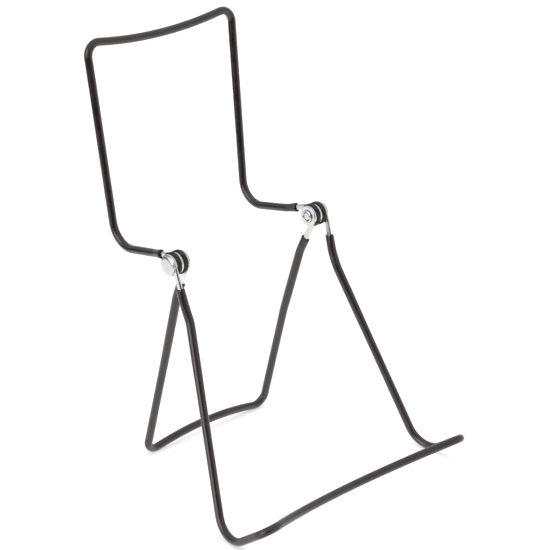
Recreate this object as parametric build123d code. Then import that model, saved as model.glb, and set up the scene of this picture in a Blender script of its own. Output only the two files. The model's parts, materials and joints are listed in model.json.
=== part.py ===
from build123d import *
import os
from math import acos, cos, degrees, radians, sin, tan

# Three-wire book display stand. Three bent wire frames turn about one left-to-right axis, held by a
# rivet at each side. The frames are drawn about that axis (X to the right, Y to the rear, Z up), and
# the finished stand is then set down with the table at Z = 0 and its outline centred on the origin.

# Sleeved wire
wire_diameter = 3.18
sleeve_diameter = 5.3
sleeve_clearance = 0.02
mouth_width = 6.1            # sleeve end, stretched over the flattened wire
mouth_bore_width = 4.3
mouth_length = 6.0           # from the sleeve's end to where it is round again

# Flattened wire ends: a round eye, with the blade running off one side of it
eye_thickness = 2.2
eye_radius = 6.85
eye_edge_round = 0.5
blade_width = 4.0
neck_distance = 8.5          # blade's root to where it leaves the eye's plane

# Pivot stack, from the front leg's eye inwards
middle_eye_x = 59.7
washer_thickness = 2.9
washer_radius = 7.7
washer_edge_round = 0.5
axial_gap = 0.05
shank_radius = 2.45
running_clearance = 0.05
head_radius = 6.3
head_rim_height = 0.6
head_face_radius = 4.2       # flat middle of the head
head_height = 1.4
tail_radius = 4.1            # rolled ring, where it stands on the last eye
tail_height = 1.1
tail_crest_radius = 3.6
groove_radius = 2.8          # pressed between the ring and the shank's end
groove_height = 0.15
shank_end_radius = 2.3
shank_end_height = 0.7

# Front leg frame
front_shoulder_lean = 27.8   # degrees from vertical, pivot axis to shoulder, feet forward
front_shoulder_distance = 27.7
front_knee_lean = 27.3
front_knee_distance = 38.1   # legs run parallel to here, then splay
front_knee_x = 64.0
front_leg_lean = 25.1        # degrees from vertical, pivot axis to foot bend
front_leg_length = 175.2     # pivot axis to the sharp corner of the foot bend
front_foot_x = 88.9
ledge_arm_length = 49.9
ledge_arm_rise = 35.8        # degrees above the table
ledge_bow = 20.0             # how far the ledge bar's middle is pulled back towards the legs
ledge_bow_fall = 30.5        # the bow's direction, degrees below level
shoulder_radius = 25.0
front_knee_radius = 31.5
front_foot_radius = 16.3
ledge_corner_radius = 7.3
front_bare_length = 17.0     # blade's root to the sleeve's end

# Back rest frame
arm_bend_x = 56.6
arm_bend_y = 23.5
arm_bend_z = -1.5
elbow_x = 55.6
elbow_y = 62.9
elbow_z = -9.3
upright_length = 133.8
upright_lean = 7.5           # degrees from vertical, top to the rear
top_corner_x = 60.4
top_bow = 4.7                # how far the top bar's middle dips
arm_bend_radius = 20.0
elbow_radius = 15.6
top_corner_radius = 8.3
arm_bare_length = 15.6

# Rear leg frame
rear_leg_length = 158.1      # pivot axis to the sharp corner at the foot bar
rear_shoulder_distance = 27.0
rear_shoulder_x = 53.5
rear_shoulder_bend = -1.1    # degrees that the shoulder stands behind the line from axis to foot
rear_knee_distance = 75.8
rear_knee_x = 52.1
rear_knee_bend = 0.3
rear_foot_x = 52.7
foot_bar_bow = 6.2           # how far the foot bar's middle rises
rear_knee_radius = 30.0
rear_corner_radius = 8.0
rear_bare_length = 16.7

eye_pitch = eye_thickness + washer_thickness + 2 * axial_gap
front_eye_x = middle_eye_x + eye_pitch
rear_eye_x = middle_eye_x - eye_pitch
hole_radius = shank_radius + running_clearance
sleeve_radius = sleeve_diameter / 2
sleeve_bore_radius = wire_diameter / 2 + sleeve_clearance
bar_straight = 1.0           # short straight run between a bar's bow and its corner


def side_direction(angle):
    """Unit direction in the side view, in degrees up from the rear."""
    return Vector(0, cos(radians(angle)), sin(radians(angle)))


def mirrored(points):
    """The same points on the other side of the stand, in reverse order."""
    return [Vector(-point.X, point.Y, point.Z) for point in reversed(points)]


def corner_tangent(before, corner, after, radius):
    """Length of straight run that a rounded corner takes up on each side."""
    half_angle = radians((before - corner).get_angle(after - corner)) / 2
    return radius / tan(half_angle)


def rounded_path(points, radii):
    """Straight runs between the points, with each inner corner rounded by an arc."""
    edges = []
    start = points[0]
    for before, corner, after, radius in zip(points, points[1:], points[2:], radii):
        to_before = (before - corner).normalized()
        to_after = (after - corner).normalized()
        half_angle = radians(to_before.get_angle(to_after)) / 2
        tangent = radius / tan(half_angle)
        middle = corner + (to_before + to_after).normalized() * (radius / sin(half_angle) - radius)
        arc_start = corner + to_before * tangent
        arc_end = corner + to_after * tangent
        edges.append(Edge.make_line(start, arc_start))
        edges.append(Edge.make_three_point_arc(arc_start, middle, arc_end))
        start = arc_end
    edges.append(Edge.make_line(start, points[-1]))
    return Wire(edges)


def outer_circles(shape, radius):
    """The shape's circular edges of this radius."""
    return [edge for edge in shape.edges().filter_by(GeomType.CIRCLE) if abs(edge.radius - radius) < 0.01]


def bar_apex(corner, inward, bow):
    """Point where the bowed bar's end tangents meet: twice the bow, on the centre plane."""
    return Vector(0, corner.Y, corner.Z) + inward * 2 * bow


def bar_radius(points, corner_radius):
    """Radius that lets the bar's bow run from corner to corner."""
    before, corner, apex = points[-3:]
    used = corner_tangent(before, corner, apex, corner_radius) + bar_straight
    opposite = Vector(-corner.X, corner.Y, corner.Z)
    half_angle = radians((corner - apex).get_angle(opposite - apex)) / 2
    return ((apex - corner).length - used) * tan(half_angle)


class WireFrame:
    """A U-shaped frame: an eye at each end of one bent wire, in one sleeve.

    The blade's edge is tangent to the eye on one side: a turn of -90 degrees from the way to the
    first bend puts it in front of a leg, and a turn of 90 degrees puts it on top of an arm.
    """

    def __init__(self, eye_x, side_points, radii, bare_length, turn):
        first_bend = Vector(0, side_points[0].Y, side_points[0].Z)
        beside = first_bend.normalized().rotate(Axis.X, turn)
        offset = beside * (eye_radius - blade_width / 2)
        self.eye_x = eye_x
        self.outward = (first_bend - offset).normalized()
        self.root = Vector(eye_x, 0, 0) + offset
        self.neck = self.root + self.outward * neck_distance
        self.run = (side_points[0] - self.neck).normalized()
        self.mouth = self.neck + self.run * (bare_length - neck_distance)
        self.round_start = self.mouth + self.run * mouth_length
        half = [self.round_start] + side_points
        bow_radius = bar_radius(half, radii[-1])
        points = half + mirrored(half[:-1])
        self.path = rounded_path(points, radii + [bow_radius] + radii[::-1])

    def section(self, centre, direction):
        """Plane across the wire, with its local X along the pivot axis."""
        return Plane(origin=centre, x_dir=(1, 0, 0), z_dir=direction)

    def swept(self, radius):
        """A round bar of this radius along the sleeved run."""
        start = self.section(self.round_start, self.run)
        return sweep(start * Circle(radius), path=self.path)

    def eye(self):
        """Flat round eye on the right."""
        plate = Pos(self.eye_x, 0, 0) * Rot(0, 90, 0) * Cylinder(eye_radius, eye_thickness)
        return fillet(outer_circles(plate, eye_radius), eye_edge_round)

    def blade(self):
        """Flattened wire from the eye to inside the sleeve, where it is round again."""
        root = self.section(self.root, self.outward)
        neck = self.section(self.neck, self.outward)
        mouth = self.section(self.mouth, self.run)
        end = self.section(self.round_start, self.run)
        flat = Rot(0, 0, 90) * SlotOverall(blade_width, eye_thickness)
        in_plane = loft([root * flat, neck * flat])
        cranked = loft([neck * flat, mouth * flat])
        return in_plane + cranked + loft([mouth * flat, end * Circle(wire_diameter / 2)])

    def wire(self):
        """The whole steel wire as one solid."""
        right_end = self.eye() + self.blade() - rivet_hole(self.eye_x, eye_thickness)
        left_end = mirror(right_end, Plane.YZ)
        return self.swept(wire_diameter / 2) + right_end + left_end

    def mouth_part(self, radius, width):
        """Solid taper over the sleeve's end, from an oval of this width to a circle."""
        mouth = self.section(self.mouth, self.run)
        end = self.section(self.round_start, self.run)
        return loft([mouth * Ellipse(radius, width / 2), end * Circle(radius)])

    def sleeve(self):
        """The plastic tube as one solid."""
        right_end = self.mouth_part(sleeve_radius, mouth_width)
        right_end -= self.mouth_part(sleeve_bore_radius, mouth_bore_width)
        left_end = mirror(right_end, Plane.YZ)
        return self.swept(sleeve_radius) - self.swept(sleeve_bore_radius) + right_end + left_end


def front_leg_frame():
    """Legs, foot bends, ledge arms and the ledge bar that the book stands on."""
    inner_line = Vector(front_knee_x, 0, 0)
    shoulder = inner_line + side_direction(-90 - front_shoulder_lean) * front_shoulder_distance
    knee = inner_line + side_direction(-90 - front_knee_lean) * front_knee_distance
    foot = Vector(front_foot_x, 0, 0) + side_direction(-90 - front_leg_lean) * front_leg_length
    corner = foot + side_direction(180 - ledge_arm_rise) * ledge_arm_length
    apex = bar_apex(corner, side_direction(-ledge_bow_fall), ledge_bow)
    radii = [shoulder_radius, front_knee_radius, front_foot_radius, ledge_corner_radius]
    return WireFrame(front_eye_x, [shoulder, knee, foot, corner, apex], radii, front_bare_length, -90)


def back_rest_frame():
    """Arms to the rear, uprights and the top bar that the book leans on."""
    up_rest = side_direction(90 - upright_lean)
    bend = Vector(arm_bend_x, arm_bend_y, arm_bend_z)
    elbow = Vector(elbow_x, elbow_y, elbow_z)
    corner = Vector(top_corner_x, elbow_y, elbow_z) + up_rest * upright_length
    apex = bar_apex(corner, up_rest * -1, top_bow)
    radii = [arm_bend_radius, elbow_radius, top_corner_radius]
    return WireFrame(middle_eye_x, [bend, elbow, corner, apex], radii, arm_bare_length, 90)


def rear_leg_frame(lean):
    """Legs and the foot bar, leaning back from the pivot axis."""
    down_leg = side_direction(lean - 90)
    shoulder_way = side_direction(lean + rear_shoulder_bend - 90)
    shoulder = Vector(rear_shoulder_x, 0, 0) + shoulder_way * rear_shoulder_distance
    knee = Vector(rear_knee_x, 0, 0) + side_direction(lean + rear_knee_bend - 90) * rear_knee_distance
    corner = Vector(rear_foot_x, 0, 0) + down_leg * rear_leg_length
    apex = bar_apex(corner, down_leg * -1, foot_bar_bow)
    radii = [shoulder_radius, rear_knee_radius, rear_corner_radius]
    return WireFrame(rear_eye_x, [shoulder, knee, corner, apex], radii, rear_bare_length, -90)


def reach_down(frame):
    """Depth of the frame's lowest centreline point below the pivot axis."""
    return -frame.path.bounding_box().min.Z


def rivet_hole(centre_x, thickness):
    """Cutter for the rivet's hole through a piece of this thickness."""
    return Pos(centre_x, 0, 0) * Rot(0, 90, 0) * Cylinder(hole_radius, 2 * thickness)


def washer(centre_x):
    """Friction washer between two eyes, on the right."""
    disc = Pos(centre_x, 0, 0) * Rot(0, 90, 0) * Cylinder(washer_radius, washer_thickness)
    rounded = fillet(outer_circles(disc, washer_radius), washer_edge_round)
    return rounded - rivet_hole(centre_x, washer_thickness)


def rivet():
    """Rivet on the right: flattened round head outside, rolled ring and shank's end inside."""
    head_face = front_eye_x + eye_thickness / 2 + axial_gap
    tail_face = rear_eye_x - eye_thickness / 2 - axial_gap
    head_middle = (head_face + head_height, 0)
    face_edge = (head_face + head_height, head_face_radius)
    rim_top = (head_face + head_rim_height, head_radius)
    rim_foot = (head_face, head_radius)
    shank = Polyline(rim_foot, (head_face, shank_radius), (tail_face, shank_radius), (tail_face, tail_radius))
    crest = (tail_face - tail_height, tail_crest_radius)
    groove = (tail_face - groove_height, groove_radius)
    end_edge = (tail_face - shank_end_height, shank_end_radius)
    end_middle = (tail_face - shank_end_height, 0)
    outline = (
        Line(head_middle, face_edge)
        + TangentArc(face_edge, rim_top, tangent=(0, 1))
        + Line(rim_top, rim_foot)
        + shank
        + ThreePointArc((tail_face, tail_radius), crest, groove)
        + Polyline(groove, end_edge, end_middle, head_middle)
    )
    return revolve(make_face(outline), axis=Axis.X)


def build_parts():
    """Every piece of the stand, drawn about the pivot axis, by name."""
    front = front_leg_frame()
    back_rest = back_rest_frame()
    upright_rear = rear_leg_frame(0)
    rear_lean = degrees(acos(reach_down(front) / reach_down(upright_rear)))
    rear = rear_leg_frame(rear_lean)
    right_rivet = rivet()
    outer_washer = washer(middle_eye_x + eye_pitch / 2)
    inner_washer = washer(middle_eye_x - eye_pitch / 2)
    return {
        "front_leg_wire": front.wire(),
        "front_leg_sleeve": front.sleeve(),
        "back_rest_wire": back_rest.wire(),
        "back_rest_sleeve": back_rest.sleeve(),
        "rear_leg_wire": rear.wire(),
        "rear_leg_sleeve": rear.sleeve(),
        "right_rivet": right_rivet,
        "left_rivet": mirror(right_rivet, Plane.YZ),
        "right_outer_washer": outer_washer,
        "left_outer_washer": mirror(outer_washer, Plane.YZ),
        "right_inner_washer": inner_washer,
        "left_inner_washer": mirror(inner_washer, Plane.YZ),
    }


def set_down(parts):
    """Move every piece so that the table is Z = 0 and the outline is centred on the origin."""
    box = Compound(children=[Compound(part.solids()) for part in parts.values()]).bounding_box()
    shift = Pos(0, -box.center().Y, -box.min.Z)
    print("pivot axis at Y, Z:", round(-box.center().Y, 4), round(-box.min.Z, 4))
    print("overall size:", [round(value, 2) for value in (box.size.X, box.size.Y, box.size.Z)])
    return {name: shift * part for name, part in parts.items()}


os.makedirs("parts", exist_ok=True)
for node, shape in set_down(build_parts()).items():
    export_step(shape, f"parts/{node}.step")
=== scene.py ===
import bpy
import json
from math import copysign, cos, pi, radians, sin
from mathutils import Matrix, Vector, noise
from mathutils.bvhtree import BVHTree

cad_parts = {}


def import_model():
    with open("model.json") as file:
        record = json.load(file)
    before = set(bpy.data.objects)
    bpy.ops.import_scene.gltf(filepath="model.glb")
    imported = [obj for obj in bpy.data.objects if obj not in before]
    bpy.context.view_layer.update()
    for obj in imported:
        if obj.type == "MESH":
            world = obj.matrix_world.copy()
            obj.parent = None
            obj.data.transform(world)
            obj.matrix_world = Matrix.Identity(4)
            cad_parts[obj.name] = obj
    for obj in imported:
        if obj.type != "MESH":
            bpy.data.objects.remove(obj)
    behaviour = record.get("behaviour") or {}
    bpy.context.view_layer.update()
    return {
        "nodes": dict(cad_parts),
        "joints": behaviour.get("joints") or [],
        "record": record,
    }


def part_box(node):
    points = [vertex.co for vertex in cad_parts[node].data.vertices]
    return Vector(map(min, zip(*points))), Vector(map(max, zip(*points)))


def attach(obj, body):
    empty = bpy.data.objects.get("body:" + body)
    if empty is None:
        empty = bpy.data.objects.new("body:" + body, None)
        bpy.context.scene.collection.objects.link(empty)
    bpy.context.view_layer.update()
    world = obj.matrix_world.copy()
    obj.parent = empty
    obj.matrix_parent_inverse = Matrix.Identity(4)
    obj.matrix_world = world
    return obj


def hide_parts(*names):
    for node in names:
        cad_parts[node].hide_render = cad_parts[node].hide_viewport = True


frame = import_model()

MM = 0.001
RIGHT = Vector((1, 0, 0))
pivot = Vector(frame["joints"][0]["pos_m"])
bodies = frame["record"]["behaviour"]["bodies"]
body_of_node = {node: body for body, nodes in bodies.items() for node in nodes}
slot_of_node = {part["node"]: part["material_slot"] for part in frame["record"]["subparts"]}


def angles(count):
    """Evenly spaced angles round a circle."""
    return [2 * pi * k / count for k in range(count)]


def fade(value, start, end):
    """1 before start, 0 after end, smooth between."""
    t = min(max((value - start) / (end - start), 0.0), 1.0)
    return 1 - t * t * (3 - 2 * t)


def stand_in(node_name, ending, rings):
    """A closed loop of vertex rings as the piece that stands for a CAD node."""
    around = len(rings[0])
    faces = []
    for r in range(len(rings)):
        here, there = r * around, (r + 1) % len(rings) * around
        for k in range(around):
            after = (k + 1) % around
            faces.append((here + k, here + after, there + after, there + k))
    mesh = bpy.data.meshes.new(node_name + ending)
    mesh.from_pydata([tuple(vertex) for ring in rings for vertex in ring], [], faces)
    mesh.polygons.foreach_set("use_smooth", [True] * len(mesh.polygons))
    piece = bpy.data.objects.new(node_name + ending, mesh)
    bpy.context.scene.collection.objects.link(piece)
    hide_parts(node_name)
    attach(piece, body_of_node[node_name])
    return piece


# ---------------------------------------------------------------- sleeves

# The plastic tubes are redrawn over the CAD ones as clean quads, on the same centreline and at the
# same radius, with what the tube does on the wire: a pressed, stretched mouth, a looser end on the
# legs, small folds inside its tight bends, and a slightly wavy skin.
RING = 36                    # vertices round a tube
STEP = 1.0 * MM              # between rings
LAST_STEP = STEP / 50        # the trace stops this close to the tube's end
RAYS = 12                    # rays that find the centre of the bore
REACH = 4.0 * MM             # how far a ray looks for the bore's wall
SMOOTHING_PASSES = 3
MOUTH_LENGTH = 6.0 * MM
MOUTH_SPREAD = 0.42 * MM     # each side, in the frame's plane, where the blade stretches it
BORE_SPREAD = 0.47 * MM
MOUTH_PRESS = 0.10 * MM      # each side, along the pivot axis, where it lies flat on the blade
BORE_PRESS = 0.46 * MM
HORN = 0.9 * MM              # how far the stretched edges stand out past the pressed ones
HORN_RINGS = 4
LIP_ROUND = 0.2 * MM
LIP_PROFILE = ((0.06, 0.4), (0.2, 0.0), (0.8, 0.0), (0.94, 0.4))   # way across the wall, depth in lip rounds
LEG_SPREAD = 0.22 * MM       # looser fit of the legs' ends
LEG_SPREAD_FROM, LEG_SPREAD_TO = 38 * MM, 78 * MM
TIGHT_BEND = 1 / (12 * MM)   # curvature at which the folds are deepest
FOLD_PITCH = 1.5 * MM
FOLD_DEPTH = 0.07 * MM
WAVE_DEPTH = 0.035 * MM
WAVE_SCALE = 90              # noise cells in a metre
RIPPLE_SCALE, RIPPLE_SHARE = 420, 0.3


def middle_slice(mesh):
    """Centre and outer radius of the tube where it crosses the stand's middle plane."""
    cut = []
    for edge in mesh.edges:
        a, b = (mesh.vertices[index].co for index in edge.vertices)
        if (a.x < 0) != (b.x < 0):
            cut.append(a.lerp(b, a.x / (a.x - b.x)))
    low_y, high_y = min(p.y for p in cut), max(p.y for p in cut)
    low_z, high_z = min(p.z for p in cut), max(p.z for p in cut)
    return Vector((0, (low_y + high_y) / 2, (low_z + high_z) / 2)), (high_z - low_z) / 2


def bore_centre(tree, guess, heading):
    """Centre of the bore round a guess, and its radius, or None beyond the tube's end."""
    side = heading.orthogonal().normalized()
    up = heading.cross(side)
    hits = []
    for angle in angles(RAYS):
        hit = tree.ray_cast(guess, side * cos(angle) + up * sin(angle), REACH)[0]
        if hit is None:
            return None, None
        hits.append(hit)
    centre = sum(hits, Vector()) / RAYS
    return centre, sum((hit - centre).length for hit in hits) / RAYS


def trace_centreline(mesh):
    """Centreline points from the right-hand mouth to the middle plane, with the tube's two radii."""
    tree = BVHTree.FromPolygons([v.co for v in mesh.vertices], [tuple(p.vertices) for p in mesh.polygons])
    start, outer_radius = middle_slice(mesh)
    bore_radius = bore_centre(tree, start, RIGHT)[1]
    points = [start]
    heading = RIGHT
    step = STEP
    while step > LAST_STEP:
        centre = bore_centre(tree, points[-1] + heading * step, heading)[0]
        if centre is None:
            step /= 2
            continue
        heading = (centre - points[-1]).normalized()
        points.append(centre)
    return points[::-1], outer_radius, bore_radius


def even_points(points):
    """The same line as evenly spaced, lightly smoothed points."""
    lengths = [0.0]
    for a, b in zip(points, points[1:]):
        lengths.append(lengths[-1] + (b - a).length)
    count = round(lengths[-1] / STEP)
    even = []
    index = 0
    for k in range(count + 1):
        distance = lengths[-1] * k / count
        while index < len(points) - 2 and lengths[index + 1] < distance:
            index += 1
        part = (distance - lengths[index]) / (lengths[index + 1] - lengths[index])
        even.append(points[index].lerp(points[index + 1], part))
    for _ in range(SMOOTHING_PASSES):
        inner = [(a + 2 * b + c) / 4 for a, b, c in zip(even, even[1:], even[2:])]
        even = [even[0]] + inner + [even[-1]]
    return even


class Station:
    """One place along the tube: its distance from the mouth, its directions and its bend."""

    def __init__(self, points, index, side):
        before = points[max(index - 1, 0)]
        after = points[min(index + 1, len(points) - 1)]
        self.centre = points[index]
        self.along = index * STEP
        self.heading = (after - before).normalized()
        self.side = (side - self.heading * side.dot(self.heading)).normalized()
        self.up = self.heading.cross(self.side)
        self.bend = (before + after - 2 * self.centre) / STEP ** 2

    def oval(self, half_side, half_up):
        """Vertices round a plain oval."""
        ring = []
        for angle in angles(RING):
            ring.append(self.centre + self.side * (half_side * cos(angle)) + self.up * (half_up * sin(angle)))
        return ring

    def skin(self, half_side, half_up):
        """The oval with a wavy skin, and with folds on the inside of a tight bend."""
        tightness = 1 - fade(self.bend.length, TIGHT_BEND / 2, TIGHT_BEND)
        inward = self.bend.normalized() if tightness > 0 else Vector()
        ring = []
        for angle, place in zip(angles(RING), self.oval(half_side, half_up)):
            outward = self.side * cos(angle) + self.up * sin(angle)
            inside = max(outward.dot(inward), 0.0) * tightness
            fold = FOLD_DEPTH * inside ** 2 * sin(2 * pi * self.along / FOLD_PITCH)
            wave = noise.noise(place * WAVE_SCALE) + RIPPLE_SHARE * noise.noise(place * RIPPLE_SCALE)
            ring.append(place + outward * (fold + WAVE_DEPTH * wave))
        return ring


def stations(points):
    """Every station from the mouth to the middle plane, carried along without twisting."""
    found = []
    side = RIGHT
    for index in range(len(points)):
        station = Station(points, index, side)
        side = station.side
        found.append(station)
    return found


def half_tube(points, outer_radius, bore_radius, leg):
    """Rings of the right-hand half, from the mouth to the middle plane: outside and bore."""
    outside, bore = [], []
    for station in stations(points):
        at_mouth = fade(station.along, 0, MOUTH_LENGTH)
        loose = LEG_SPREAD * fade(station.along, LEG_SPREAD_FROM, LEG_SPREAD_TO) if leg else 0.0
        half = outer_radius + loose * (1 - at_mouth)
        outside.append(station.skin(half - MOUTH_PRESS * at_mouth, half + MOUTH_SPREAD * at_mouth))
        bore.append(station.oval(bore_radius - BORE_PRESS * at_mouth, bore_radius + BORE_SPREAD * at_mouth))
    for rings in (outside, bore):
        for vertex in rings[-1]:
            vertex.x = 0.0
    return outside, bore


def horned(rings, into_tube):
    """The first few rings with the cut end's two stretched edges standing out."""
    for r in range(HORN_RINGS):
        length = HORN * fade(r, 0, HORN_RINGS)
        rings[r] = [v - into_tube * (length * sin(a) ** 2) for a, v in zip(angles(RING), rings[r])]


def mirrored(rings):
    """The same rings on the stand's other side."""
    return [[Vector((-v.x, v.y, v.z)) for v in ring] for ring in rings]


def lip(outer_ring, bore_ring, into_tube):
    """Rings over the tube's cut end, with its edges rounded."""
    rings = []
    for across, depth in LIP_PROFILE:
        inset = into_tube * (depth * LIP_ROUND)
        rings.append([a.lerp(b, across) + inset for a, b in zip(outer_ring, bore_ring)])
    return rings


def sleeve(node_name):
    """A whole tube, redrawn over its CAD node."""
    points, outer_radius, bore_radius = trace_centreline(frame["nodes"][node_name].data)
    points = even_points(points)
    outside, bore = half_tube(points, outer_radius, bore_radius, "leg" in node_name)
    into_tube = (points[1] - points[0]).normalized()
    horned(outside, into_tube)
    horned(bore, into_tube)
    mouth = lip(outside[0], bore[0], into_tube)
    for rings in (outside, bore):
        rings[0] = [vertex + into_tube * LIP_ROUND for vertex in rings[0]]
    whole_outside = outside + mirrored(outside[-2::-1])
    whole_bore = bore + mirrored(bore[-2::-1])
    rings = whole_outside + mirrored(mouth) + whole_bore[::-1] + mouth[::-1]
    piece = stand_in(node_name, "_tube", rings)
    grain = piece.data.attributes.new("grain", "FLOAT_VECTOR", "POINT")
    for r in range(len(rings)):
        along = STEP * min(r, len(whole_outside))
        for k, angle in enumerate(angles(RING)):
            grain.data[r * RING + k].vector = (cos(angle), sin(angle), along)
    return piece


# ---------------------------------------------------------------- washers

# The friction washers are redrawn as turned rings with a coarse pressed-fibre skin, which only ever
# lies below the CAD washer's surface.
WASHER_HOLE = 2.5 * MM
WASHER_ROUND = 0.5 * MM
WASHER_SEGMENTS = 168
CORNER_STEPS = 5
FACE_BAND = 0.9              # share of the half thickness beyond which a point belongs to a face
SMOOTH_RADIUS = 1.5 * WASHER_HOLE   # within it the skin sinks along the axis only
SKIN_PITCH = 0.3 * MM
SKIN_DEPTH = 0.11 * MM
FIBRE_SCALE, FIBRE_SHARE = 900, 0.5
GRIT_SCALE, GRIT_SHARE = 2300, 0.35


def washer_outline(half, radius):
    """Points (along the axis, out from it) round the washer's section, hole to hole."""
    face_width = radius - WASHER_ROUND - WASHER_HOLE
    face_steps = round(face_width / SKIN_PITCH)
    side = [(-half, WASHER_HOLE + face_width * k / face_steps) for k in range(face_steps)]
    for k in range(CORNER_STEPS + 1):
        angle = pi / 2 * k / CORNER_STEPS
        side.append((-half + WASHER_ROUND * (1 - cos(angle)), radius - WASHER_ROUND * (1 - sin(angle))))
    half_wall = half - WASHER_ROUND
    wall_steps = round(2 * half_wall / SKIN_PITCH)
    wall = [(half_wall * (2 * k / wall_steps - 1), radius) for k in range(1, wall_steps)]
    return side + wall + [(-x, r) for x, r in reversed(side)]


def washer(node_name):
    """A washer redrawn over its CAD node."""
    low, high = (Vector(corner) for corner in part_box(node_name))
    middle = (low + high) / 2
    half = (high.x - low.x) / 2
    rings = []
    for x, r in washer_outline(half, (high.z - low.z) / 2):
        along_axis = -RIGHT * copysign(abs(x) > FACE_BAND * half, x)
        ring = []
        for angle in angles(WASHER_SEGMENTS):
            out = Vector((0, cos(angle), sin(angle)))
            place = middle + out * r + RIGHT * x
            fibre = FIBRE_SHARE * noise.noise(place * FIBRE_SCALE)
            grit = GRIT_SHARE * noise.noise(place * GRIT_SCALE)
            depth = SKIN_DEPTH * min(max(0.5 + fibre + grit, 0.0), 1.0)
            ring.append(place + (along_axis - out * (r > SMOOTH_RADIUS)) * depth)
        rings.append(ring)
    return stand_in(node_name, "_ring", rings)


# ---------------------------------------------------------------- materials

class Nodes:
    """Short names for building the node tree of a material or a world."""

    def __init__(self, owner):
        self.owner = owner
        owner.use_nodes = True
        self.tree = owner.node_tree
        self.tree.nodes.clear()

    def add(self, kind, inputs=None, **settings):
        node = self.tree.nodes.new("ShaderNode" + kind)
        for key, value in settings.items():
            setattr(node, key, value)
        for key, value in (inputs or {}).items():
            if isinstance(value, bpy.types.NodeSocket):
                self.tree.links.new(value, node.inputs[key])
            else:
                node.inputs[key].default_value = value
        return node

    def coordinates(self):
        return self.add("TexCoord").outputs["Object"]

    def scaled_vector(self, vector, scale):
        """The vector with each part times its own scale."""
        return self.add("VectorMath", {0: vector, 1: scale}, operation="MULTIPLY").outputs[0]

    def math(self, operation, *values):
        return self.add("Math", dict(enumerate(values)), operation=operation).outputs[0]

    def ramp(self, factor, low, high, dark, light):
        """Map a value from low..high to dark..light, smoothly."""
        inputs = {"Value": factor, 1: low, 2: high, 3: dark, 4: light}
        return self.add("MapRange", inputs, interpolation_type="SMOOTHSTEP").outputs[0]

    def mix(self, factor, first, second):
        """Blend of two colours, each a colour socket or three numbers."""
        first, second = ((*c, 1) if isinstance(c, tuple) else c for c in (first, second))
        return self.add("Mix", {0: factor, 6: first, 7: second}, data_type="RGBA").outputs[2]

    def noise(self, vector, scale, detail=4.0, roughness=0.55):
        inputs = {"Vector": vector, "Scale": scale, "Detail": detail, "Roughness": roughness}
        return self.add("TexNoise", inputs).outputs["Fac"]

    def bump(self, height, strength, depth, below=None):
        inputs = {"Height": height, "Strength": strength, "Distance": depth}
        if below is not None:
            inputs["Normal"] = below
        return self.add("Bump", inputs).outputs[0]

    def crevice(self, reach):
        """0 in the gaps between pieces, 1 in the open."""
        return self.add("AmbientOcclusion", {"Distance": reach}, samples=6).outputs["AO"]

    def finish(self, shader):
        self.add("OutputMaterial", {"Surface": shader})
        return self.owner


def new_material(name):
    return Nodes(bpy.data.materials.new(name))


VINYL, VINYL_BLOOM = (0.0105, 0.0070, 0.0064), (0.0155, 0.0112, 0.0104)
VINYL_DUST, VINYL_WORN = (0.09, 0.085, 0.08), (0.06, 0.058, 0.056)
VINYL_SHEEN = (1.0, 0.925, 0.905)


def sleeve_material():
    """Glossy black vinyl tube: faint extrusion lines, waxy bloom, dust and scuffs where it stands."""
    n = new_material("black_sleeve")
    place = n.coordinates()
    grain = n.add("Attribute", attribute_name="grain").outputs["Vector"]
    lines = n.noise(n.scaled_vector(grain, (11.0, 11.0, 25.0)), 1.0, detail=3.0)
    bloom = n.noise(place, 120.0)
    dust = n.ramp(n.noise(place, 2600.0, detail=1.0), 0.67, 0.76, 0.0, 1.0)
    height = n.add("SeparateXYZ", {0: place}).outputs["Z"]
    scratch = n.noise(n.scaled_vector(place, (900.0, 2600.0, 2600.0)), 1.0, detail=2.0)
    near_floor = n.ramp(height, 0.8 * MM, 3.5 * MM, 1.0, 0.0)
    scuff = n.math("MULTIPLY", near_floor, n.ramp(scratch, 0.5, 0.62, 0.0, 1.0))
    vinyl = n.mix(n.ramp(bloom, 0.35, 0.65, 0.0, 1.0), VINYL, VINYL_BLOOM)
    dusty = n.mix(n.math("MULTIPLY", dust, 0.35), vinyl, VINYL_DUST)
    worn = n.mix(n.math("MULTIPLY", scuff, 0.6), dusty, VINYL_WORN)
    rough = n.math("ADD", n.ramp(bloom, 0.3, 0.7, 0.18, 0.27), n.math("MULTIPLY", scuff, 0.25))
    fine = n.bump(n.noise(place, 2200.0, detail=2.0), 0.10, 0.04 * MM)
    ridged = n.bump(lines, 0.6, 0.10 * MM, fine)
    shader = n.add("BsdfPrincipled", {
        "Base Color": worn,
        "Roughness": rough,
        "IOR": 1.58,
        "Specular Tint": (*VINYL_SHEEN, 1),
        "Normal": n.bump(scratch, n.math("MULTIPLY", scuff, 0.3), 0.05 * MM, ridged),
    })
    return n.finish(shader.outputs[0])


def from_pivot(n):
    """The place with the pivot as origin."""
    return n.add("VectorMath", {0: n.coordinates(), 1: tuple(pivot)}, operation="SUBTRACT").outputs[0]


def axis_distance(n, local):
    """How far a place is from the pivot axis."""
    flat = n.scaled_vector(local, (0.0, 1.0, 1.0))
    return n.add("VectorMath", {0: flat}, operation="LENGTH").outputs["Value"]


ZINC_PALE, ZINC_DARK = (0.64, 0.64, 0.625), (0.54, 0.545, 0.54)
RIVET_PALE, RIVET_DARK = (0.62, 0.63, 0.62), (0.52, 0.53, 0.525)
# The last colour is painted shade. The steel's ambient-occlusion mask lays it into the gaps between pieces.
ZINC_WARM, ZINC_COOL, GAP_SHADE = (0.62, 0.55, 0.42), (0.47, 0.56, 0.57), (0.10, 0.095, 0.09)


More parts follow.
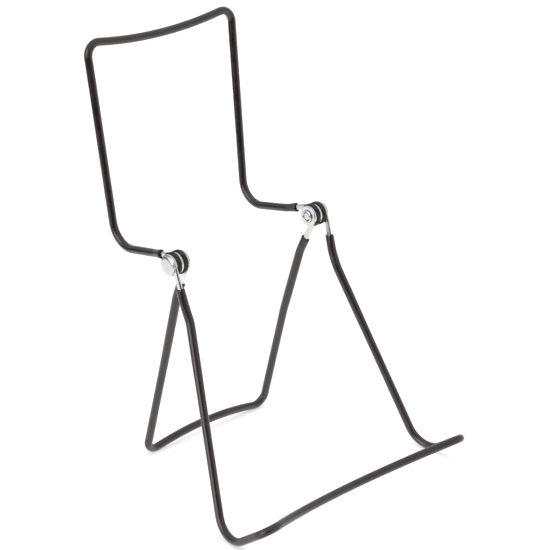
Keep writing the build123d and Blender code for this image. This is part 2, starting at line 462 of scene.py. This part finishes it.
def steel_material(name, pale, dark, rough, turned):
    """Clear-zinc plated steel: tinted passivation, rubbed rings round the pivot, painted shade in the gaps.
    """
    n = new_material(name)
    local = from_pivot(n)
    cloud = n.noise(local, 210.0, detail=3.0)
    tint = n.noise(local, 95.0, detail=2.0)
    rings = n.noise(n.add("CombineXYZ", {0: axis_distance(n, local)}).outputs[0], 5200.0, detail=2.0)
    pits = n.ramp(n.noise(local, 2400.0, detail=2.0), 0.62, 0.78, 0.0, 1.0)
    plated = n.mix(n.ramp(cloud, 0.34, 0.66, 0.0, 1.0), dark, pale)
    warm = n.mix(n.ramp(tint, 0.52, 0.66, 0.0, 0.45), plated, ZINC_WARM)
    cool = n.mix(n.ramp(tint, 0.34, 0.48, 0.35, 0.0), warm, ZINC_COOL)
    # Painted shade: ambient occlusion darkens the plated colour in the gaps between pieces.
    gap_shaded = n.mix(n.ramp(n.crevice(1.6 * MM), 0.25, 0.8, 0.0, 1.0), GAP_SHADE, cool)
    spread = n.math("ADD", n.ramp(cloud, 0.3, 0.7, rough * 0.8, rough * 1.35), n.math("MULTIPLY", pits, 0.12))
    turning = n.bump(rings, turned, 0.02 * MM)
    hammered = n.bump(n.noise(local, 520.0, detail=2.0), 0.10, 0.12 * MM, turning)
    shader = n.add("BsdfPrincipled", {
        "Base Color": gap_shaded,
        "Metallic": 1.0,
        "Roughness": spread,
        "Normal": n.bump(pits, 0.18, 0.03 * MM, hammered),
    })
    return n.finish(shader.outputs[0])


FIBRE_DEEP, FIBRE_PALE = (0.0045, 0.0040, 0.0037), (0.020, 0.0180, 0.0165)
FIBRE_SPECK, FIBRE_SHEEN = (0.075, 0.072, 0.068), (1.0, 0.925, 0.87)


def washer_material():
    """Charcoal fibre washers: coarse grain, pale specks, rubbed and oily patches."""
    n = new_material("black_washer")
    local = from_pivot(n)
    grain = n.noise(local, 1500.0, detail=3.0, roughness=0.7)
    speck = n.ramp(n.noise(local, 2600.0, detail=1.0), 0.58, 0.70, 0.0, 1.0)
    rubbed = n.ramp(n.noise(local, 300.0), 0.4, 0.65, 0.0, 1.0)
    fibre = n.mix(n.ramp(grain, 0.35, 0.65, 0.0, 1.0), FIBRE_DEEP, FIBRE_PALE)
    specked = n.mix(n.math("MULTIPLY", speck, 0.5), fibre, FIBRE_SPECK)
    oily = n.ramp(n.noise(local, 620.0, detail=2.0), 0.40, 0.60, 0.12, 0.50)
    shader = n.add("BsdfPrincipled", {
        "Base Color": specked,
        "Roughness": n.ramp(rubbed, 0.0, 1.0, 0.62, 0.42),
        "Specular IOR Level": oily,
        "Specular Tint": (*FIBRE_SHEEN, 1),
        "Normal": n.bump(grain, 0.6, 0.12 * MM),
    })
    return n.finish(shader.outputs[0])


FINISHES = {
    "black_sleeve": sleeve_material(),
    "plated_steel": steel_material("plated_steel", ZINC_PALE, ZINC_DARK, rough=0.20, turned=0.10),
    "rivet_steel": steel_material("rivet_steel", RIVET_PALE, RIVET_DARK, rough=0.22, turned=0.16),
    "black_washer": washer_material(),
}


REDRAWN = {"black_sleeve": sleeve, "black_washer": washer}
for node, slot in slot_of_node.items():
    piece = REDRAWN[slot](node) if slot in REDRAWN else frame["nodes"][node]
    piece.data.materials.clear()
    piece.data.materials.append(FINISHES[slot])


# ---------------------------------------------------------------- studio

CAMERA_AZIMUTH, CAMERA_ELEVATION, CAMERA_DISTANCE = -43.46, 23.27, 1.265
CAMERA_AIM = Vector((6.2, -19.6, -21.9)) * MM   # from the pivot
CAMERA_LENS, CAMERA_SENSOR = 130.5, 36.0
HALF_PIXEL = 0.5 / 550       # as a share of the picture's width
WHITE = (1, 1, 1, 1)
FLOOR_SIZE = 12.0
FLOOR_COLOUR = (0.93, 0.93, 0.93, 1)
FLOOR_GLOW = 0.55            # share of pure white over the floor's own shade, so shadows stay faint
TABLE_LIGHT = 1.45           # brightness of the lit table in reflections
TABLE_DARK = 0.04            # share of it past the table's ends
TABLE_ENDS = (               # where it fades out: azimuth, and the metres from the stand's middle
    (CAMERA_AZIMUTH, 0.30, 0.52),
    (-135, 0.45, 0.80),
)
ROOM = 0.92                  # brightness of the room in reflections
BANKS = (                    # its bright and dark parts: azimuth, elevation, inner and outer angle, strength
    (-42, 5, 16, 48, -0.90),
    (-92, 18, 18, 27, 2.9),
    (-146, 4, 10, 24, -0.72),
)
SOFTBOXES = (                # name, azimuth, elevation, distance, size, watts
    ("overhead", -20, 78, 1.1, 0.9, 9),
    ("rear", 150, 45, 1.3, 0.8, 5),
)


def direction(azimuth, elevation):
    """Unit vector from the stand towards a viewer; azimuth 0 stands in front, negative is the left."""
    a = radians(azimuth)
    e = radians(elevation)
    return Vector((sin(a) * cos(e), -cos(a) * cos(e), sin(e)))


def aimed(thing, target, towards, distance):
    """Place a light or a camera and turn it to the target."""
    thing.location = target + towards * distance
    thing.rotation_euler = (-towards).to_track_quat("-Z", "Y").to_euler()
    bpy.context.scene.collection.objects.link(thing)
    return thing


def floor():
    """Plain white floor. Reflections see a lit table that ends a little way in front of the stand."""
    bpy.ops.mesh.primitive_plane_add(size=FLOOR_SIZE, location=(0, 0, 0))
    plane = bpy.context.object
    plane.name = "floor"
    n = new_material("pale_floor")
    place = n.coordinates()
    table = TABLE_LIGHT
    for azimuth, start, end in TABLE_ENDS:
        away = n.add("VectorMath", {0: place, 1: tuple(direction(azimuth, 0))}, operation="DOT_PRODUCT")
        table = n.math("MULTIPLY", table, n.ramp(away.outputs["Value"], start, end, 1.0, TABLE_DARK))
    path = n.add("LightPath")
    lit = n.add("Emission", {"Color": WHITE, "Strength": table})
    matte = n.add("BsdfDiffuse", {"Color": FLOOR_COLOUR})
    glow = n.add("Emission", {"Color": WHITE, "Strength": 1.0})
    share = n.math("MULTIPLY", path.outputs["Is Camera Ray"], FLOOR_GLOW)
    plain = n.add("MixShader", {0: share, 1: matte.outputs[0], 2: glow.outputs[0]})
    shader = n.add("MixShader", {0: path.outputs["Is Glossy Ray"], 1: plain.outputs[0], 2: lit.outputs[0]})
    plane.data.materials.append(n.finish(shader.outputs[0]))


def softbox(name, azimuth, elevation, distance, size, watts):
    """Square area light that faces the pivot. Reflections see the world's banks in its place."""
    light = bpy.data.lights.new(name, "AREA")
    light.size = size
    light.energy = watts
    box = aimed(bpy.data.objects.new(name, light), pivot, direction(azimuth, elevation), distance)
    box.visible_glossy = False


def lobe(n, azimuth, elevation, inner, outer, strength):
    """This strength within the inner angle of a direction, falling to 0 at the outer angle."""
    ray = n.add("TexCoord").outputs["Generated"]
    towards = tuple(direction(azimuth, elevation))
    near = n.add("VectorMath", {0: ray, 1: towards}, operation="DOT_PRODUCT").outputs["Value"]
    return n.ramp(near, cos(radians(outer)), cos(radians(inner)), 0.0, strength)


def world():
    """White to the camera. Reflections see a room with its banks."""
    n = Nodes(bpy.data.worlds.new("studio"))
    seen = ROOM
    for bank in BANKS:
        seen = n.math("ADD", seen, lobe(n, *bank))
    camera_ray = n.add("LightPath").outputs["Is Camera Ray"]
    strength = n.add("Mix", {0: camera_ray, 2: seen, 3: 1.0}, data_type="FLOAT").outputs[0]
    shader = n.add("Background", {"Color": WHITE, "Strength": strength})
    n.add("OutputWorld", {"Surface": shader.outputs[0]})
    bpy.context.scene.world = n.owner


def camera():
    """The camera, in front of the stand, to its left and above it."""
    data = bpy.data.cameras.new("camera")
    data.lens = CAMERA_LENS
    data.sensor_width = CAMERA_SENSOR
    data.clip_start = 0.01
    data.shift_x = -HALF_PIXEL
    data.shift_y = HALF_PIXEL
    eye = bpy.data.objects.new("camera", data)
    aimed(eye, pivot + CAMERA_AIM, direction(CAMERA_AZIMUTH, CAMERA_ELEVATION), CAMERA_DISTANCE)
    bpy.context.scene.camera = eye


floor()
world()
for box in SOFTBOXES:
    softbox(*box)
camera()
bpy.context.scene.view_settings.view_transform = "Standard"
